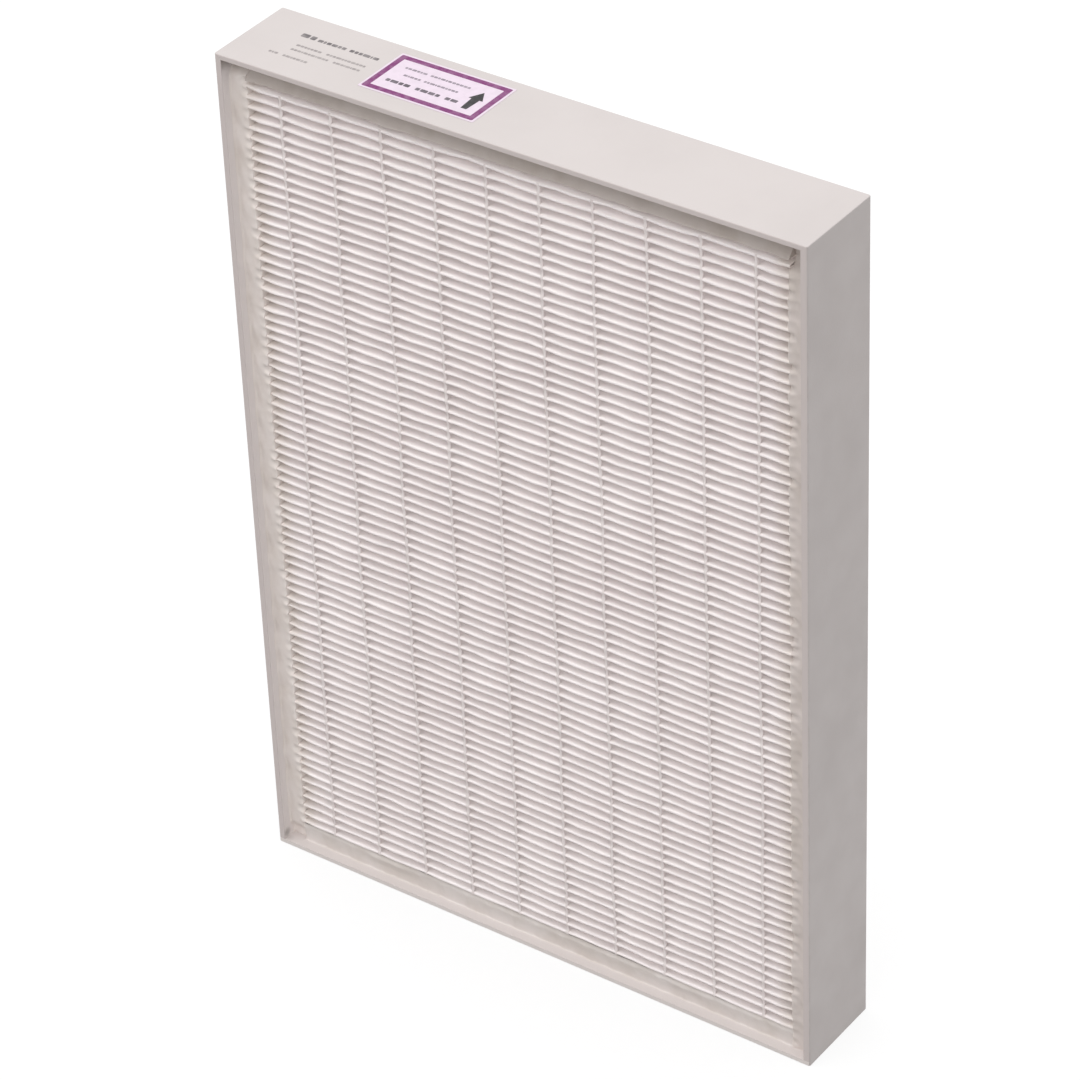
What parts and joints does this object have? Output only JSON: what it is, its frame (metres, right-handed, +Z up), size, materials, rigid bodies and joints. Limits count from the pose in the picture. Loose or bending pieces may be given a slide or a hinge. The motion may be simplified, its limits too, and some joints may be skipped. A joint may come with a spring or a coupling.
{
  "type": "pleated panel air filter",
  "caption": "Rectangular panel filter: a deep pack of level pleats with separator strands, potted in a thin-walled white frame with a label on its top.",
  "frame": {"origin": "middle of the underside, where the filter stands", "axes": "+X across the width to the right seen from the front, +Y from the front face to the back face, +Z up the height"},
  "size_m": [0.364, 0.058, 0.5202],
  "materials": {
    "frame": "satin",
    "medium": "matte",
    "potting": "satin",
    "strand": "satin",
    "label": "satin"
  },
  "bodies": {
    "root": {"top_board": "frame", "bottom_board": "frame", "left_board": "frame", "right_board": "frame", "pleated_sheet": "medium", "left_bed": "potting", "right_bed": "potting", "top_bed": "potting", "bottom_bed": "potting", "top_label": "label", "front_bead_01": "strand", "front_bead_02": "strand", "front_bead_03": "strand", "front_bead_04": "strand", "front_bead_05": "strand", "front_bead_06": "strand", "front_bead_07": "strand", "front_bead_08": "strand", "front_bead_09": "strand", "front_bead_10": "strand", "back_bead_01": "strand", "back_bead_02": "strand", "back_bead_03": "strand", "back_bead_04": "strand", "back_bead_05": "strand", "back_bead_06": "strand", "back_bead_07": "strand", "back_bead_08": "strand", "back_bead_09": "strand", "back_bead_10": "strand"}
  },
  "joints": []
}
